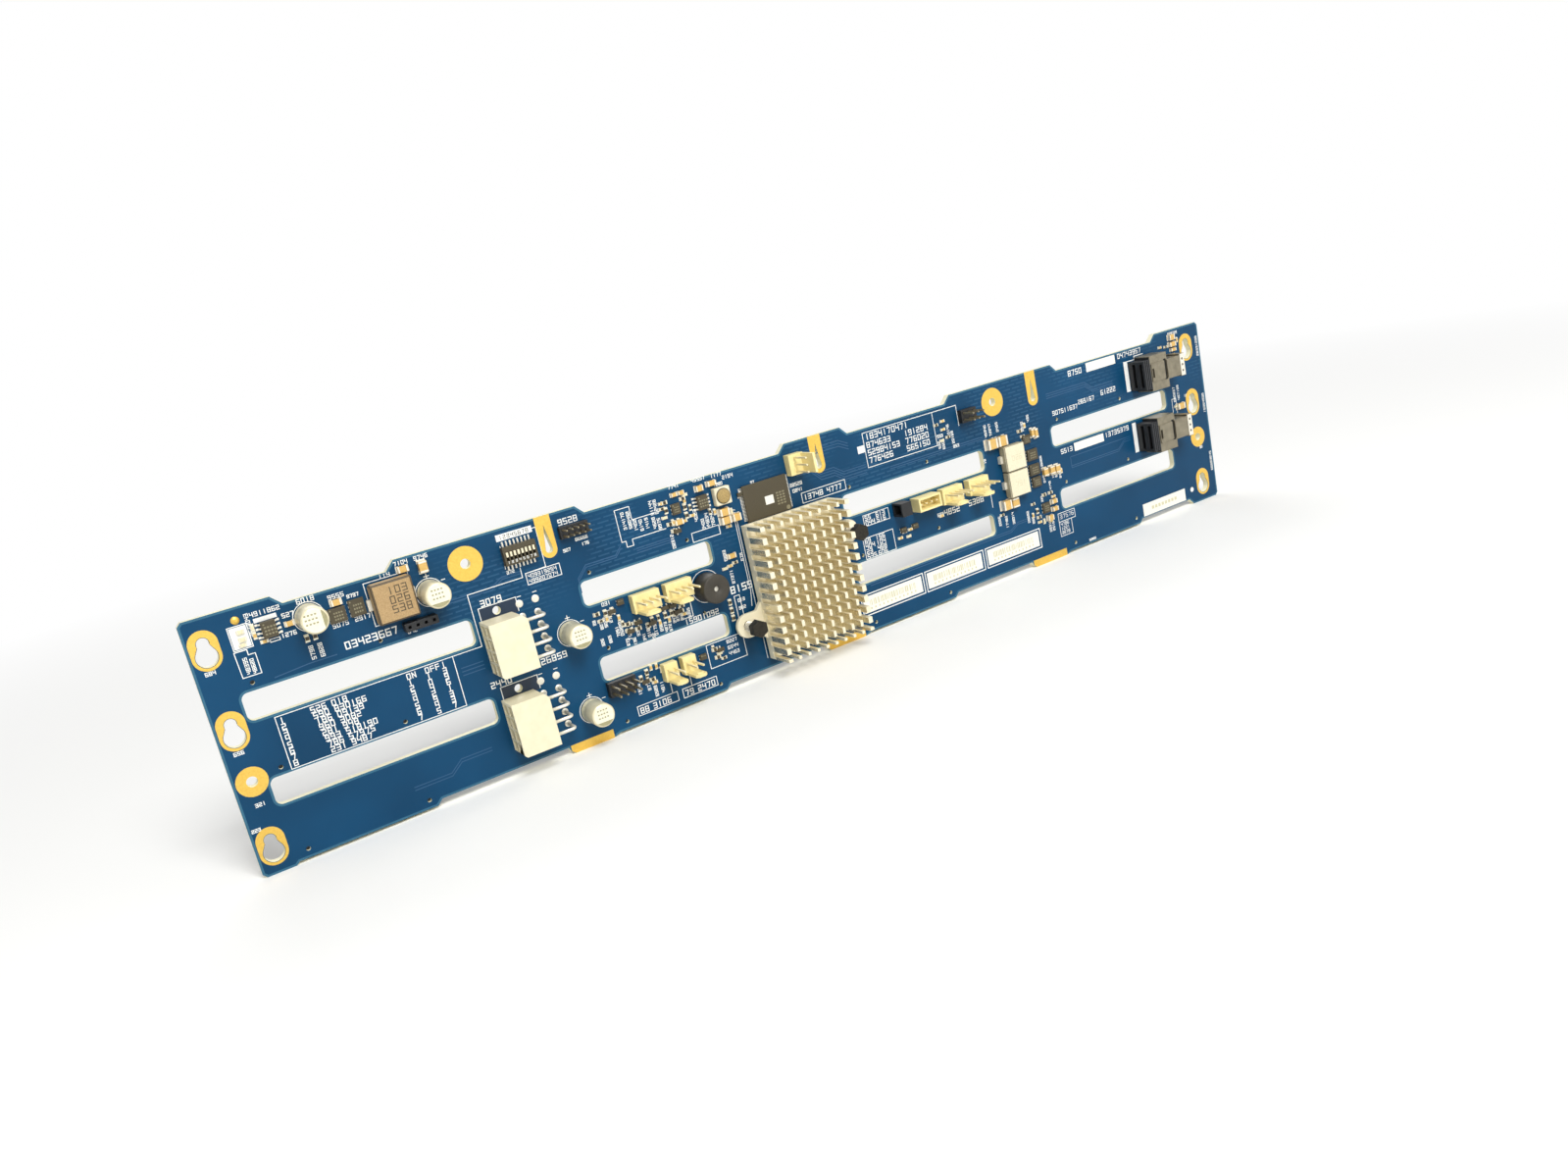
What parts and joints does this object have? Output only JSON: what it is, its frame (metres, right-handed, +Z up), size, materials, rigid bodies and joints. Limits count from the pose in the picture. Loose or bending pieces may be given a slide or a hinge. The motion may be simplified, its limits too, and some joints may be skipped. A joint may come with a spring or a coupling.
{
  "type": "drive backplane board",
  "caption": "Long blue circuit board that joins rows of storage drives to a chassis, with a finned heat sink, power headers, fan headers, air windows and two side ports.",
  "frame": {"origin": "bottom centre of the bounding box, under the middle of the board's bottom edge", "axes": "+X along the board to the end with the side ports, +Z up, -Y out of the component side, +Y towards the drives"},
  "size_m": [0.4242, 0.0266, 0.079],
  "materials": {
    "board": "blue solder mask over glass laminate",
    "nylon": "moulded off-white nylon",
    "cream_nylon": "moulded cream nylon",
    "tin": "bright tin plate",
    "champagne_aluminium": "champagne anodised",
    "dark_steel": "blackened steel",
    "spring_steel": "drawn spring wire",
    "chip_plastic": "moulded epoxy",
    "pad_rubber": "soft heat-conducting pad",
    "tan_ceramic": "fired ceramic",
    "dark_ceramic": "glazed ceramic chips",
    "choke_compound": "pressed iron powder",
    "ferrite": "ground ferrite",
    "olive_plastic": "moulded plastic",
    "switch_plastic": "moulded plastic",
    "slider_plastic": "moulded plastic",
    "black_plastic": "moulded plastic",
    "nickel": "nickel plated sheet",
    "gold": "gold plated contact",
    "can_aluminium": "drawn aluminium can"
  },
  "bodies": {
    "board": {"circuit_board": "board", "power_header_1": "nylon", "power_header_2": "nylon", "power_pins": "tin", "heatsink": "champagne_aluminium", "heatsink_screws": "dark_steel", "heatsink_springs": "spring_steel", "heatsink_nuts": "dark_steel", "expander_chip": "chip_plastic", "thermal_pad": "pad_rubber", "memory_chip": "chip_plastic", "small_chips": "chip_plastic", "chip_capacitors": "tan_ceramic", "chip_resistors": "dark_ceramic", "power_choke": "choke_compound", "round_inductor": "ferrite", "square_inductor_1": "ferrite", "square_inductor_2": "ferrite", "buzzer": "olive_plastic", "switch_block": "switch_plastic", "left_fan_headers": "cream_nylon", "right_fan_headers": "cream_nylon", "signal_headers": "cream_nylon", "top_fan_header": "cream_nylon", "sensor_header": "cream_nylon", "serial_header": "black_plastic", "bus_header": "black_plastic", "debug_header": "black_plastic", "option_header": "black_plastic", "panel_header": "black_plastic", "header_pins": "tin", "port_housing_1": "black_plastic", "port_housing_2": "black_plastic", "port_shell_1": "nickel", "port_shell_2": "nickel", "drive_contacts": "gold", "capacitor_can_1": "can_aluminium", "capacitor_can_2": "can_aluminium", "capacitor_can_3": "can_aluminium", "capacitor_can_4": "can_aluminium", "drive_connector_1": "black_plastic", "drive_connector_2": "black_plastic", "drive_connector_3": "black_plastic", "drive_connector_4": "black_plastic", "drive_connector_5": "black_plastic", "drive_connector_6": "black_plastic", "drive_connector_7": "black_plastic", "drive_connector_8": "black_plastic", "drive_connector_9": "black_plastic", "drive_connector_10": "black_plastic", "drive_connector_11": "black_plastic", "drive_connector_12": "black_plastic"},
    "slider_1": {"switch_slider_1": "slider_plastic"},
    "slider_2": {"switch_slider_2": "slider_plastic"},
    "slider_3": {"switch_slider_3": "slider_plastic"},
    "slider_4": {"switch_slider_4": "slider_plastic"},
    "slider_5": {"switch_slider_5": "slider_plastic"},
    "slider_6": {"switch_slider_6": "slider_plastic"},
    "slider_7": {"switch_slider_7": "slider_plastic"},
    "slider_8": {"switch_slider_8": "slider_plastic"}
  },
  "joints": [
    {"name": "switch_1_slide", "type": "slide", "parent": "board", "child": "slider_1", "axis": [0, 0, -1], "range_m": [0, 0.0012]},
    {"name": "switch_2_slide", "type": "slide", "parent": "board", "child": "slider_2", "axis": [0, 0, -1], "range_m": [0, 0.0012]},
    {"name": "switch_3_slide", "type": "slide", "parent": "board", "child": "slider_3", "axis": [0, 0, -1], "range_m": [0, 0.0012]},
    {"name": "switch_4_slide", "type": "slide", "parent": "board", "child": "slider_4", "axis": [0, 0, -1], "range_m": [0, 0.0012]},
    {"name": "switch_5_slide", "type": "slide", "parent": "board", "child": "slider_5", "axis": [0, 0, -1], "range_m": [0, 0.0012]},
    {"name": "switch_6_slide", "type": "slide", "parent": "board", "child": "slider_6", "axis": [0, 0, -1], "range_m": [0, 0.0012]},
    {"name": "switch_7_slide", "type": "slide", "parent": "board", "child": "slider_7", "axis": [0, 0, -1], "range_m": [0, 0.0012]},
    {"name": "switch_8_slide", "type": "slide", "parent": "board", "child": "slider_8", "axis": [0, 0, -1], "range_m": [0, 0.0012]}
  ]
}
